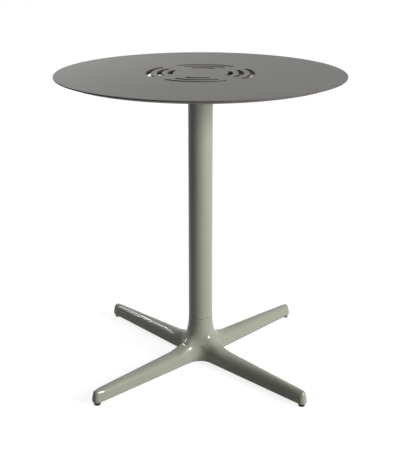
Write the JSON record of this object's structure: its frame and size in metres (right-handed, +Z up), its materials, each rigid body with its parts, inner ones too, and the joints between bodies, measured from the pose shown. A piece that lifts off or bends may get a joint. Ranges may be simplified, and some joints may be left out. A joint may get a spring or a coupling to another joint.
{
  "type": "garden table",
  "caption": "Round pedestal garden table with a thin slotted laminate top on a tube column and a cast four-leg base with levelling glides.",
  "frame": {"origin": "on the floor below the middle of the column", "axes": "+Z up through the column, -Y towards the front, legs on the diagonals"},
  "size_m": [0.6899, 0.69, 0.74],
  "materials": {
    "laminate": "compact laminate, fine matt texture",
    "powder_coat": "powder coated, satin grey-green",
    "zinc_steel": "zinc plated",
    "brass": "turned",
    "nylon": "moulded black nylon"
  },
  "bodies": {
    "table": {"table_top": "laminate", "top_inserts": "brass", "spider": "powder_coat", "spider_screws": "zinc_steel", "spider_washers": "zinc_steel", "column_tube": "powder_coat", "tie_rod": "zinc_steel", "rod_top_washer": "zinc_steel", "rod_top_nut": "zinc_steel", "rod_bottom_washer": "zinc_steel", "rod_spring_washer": "zinc_steel", "rod_bottom_nut": "zinc_steel", "base_casting": "powder_coat", "glide_bush_back_right": "zinc_steel", "glide_bush_back_left": "zinc_steel", "glide_bush_front_left": "zinc_steel", "glide_bush_front_right": "zinc_steel"},
    "glide_back_right": {"glide_stud_back_right": "zinc_steel", "glide_pad_back_right": "nylon"},
    "glide_back_left": {"glide_stud_back_left": "zinc_steel", "glide_pad_back_left": "nylon"},
    "glide_front_left": {"glide_stud_front_left": "zinc_steel", "glide_pad_front_left": "nylon"},
    "glide_front_right": {"glide_stud_front_right": "zinc_steel", "glide_pad_front_right": "nylon"}
  },
  "joints": [
    {"name": "glide_travel_back_right", "type": "slide", "parent": "table", "child": "glide_back_right", "axis": [0, 0, -1], "range_m": [0, 0.01]},
    {"name": "glide_travel_back_left", "type": "slide", "parent": "table", "child": "glide_back_left", "axis": [0, 0, -1], "range_m": [0, 0.01]},
    {"name": "glide_travel_front_left", "type": "slide", "parent": "table", "child": "glide_front_left", "axis": [0, 0, -1], "range_m": [0, 0.01]},
    {"name": "glide_travel_front_right", "type": "slide", "parent": "table", "child": "glide_front_right", "axis": [0, 0, -1], "range_m": [0, 0.01]}
  ]
}
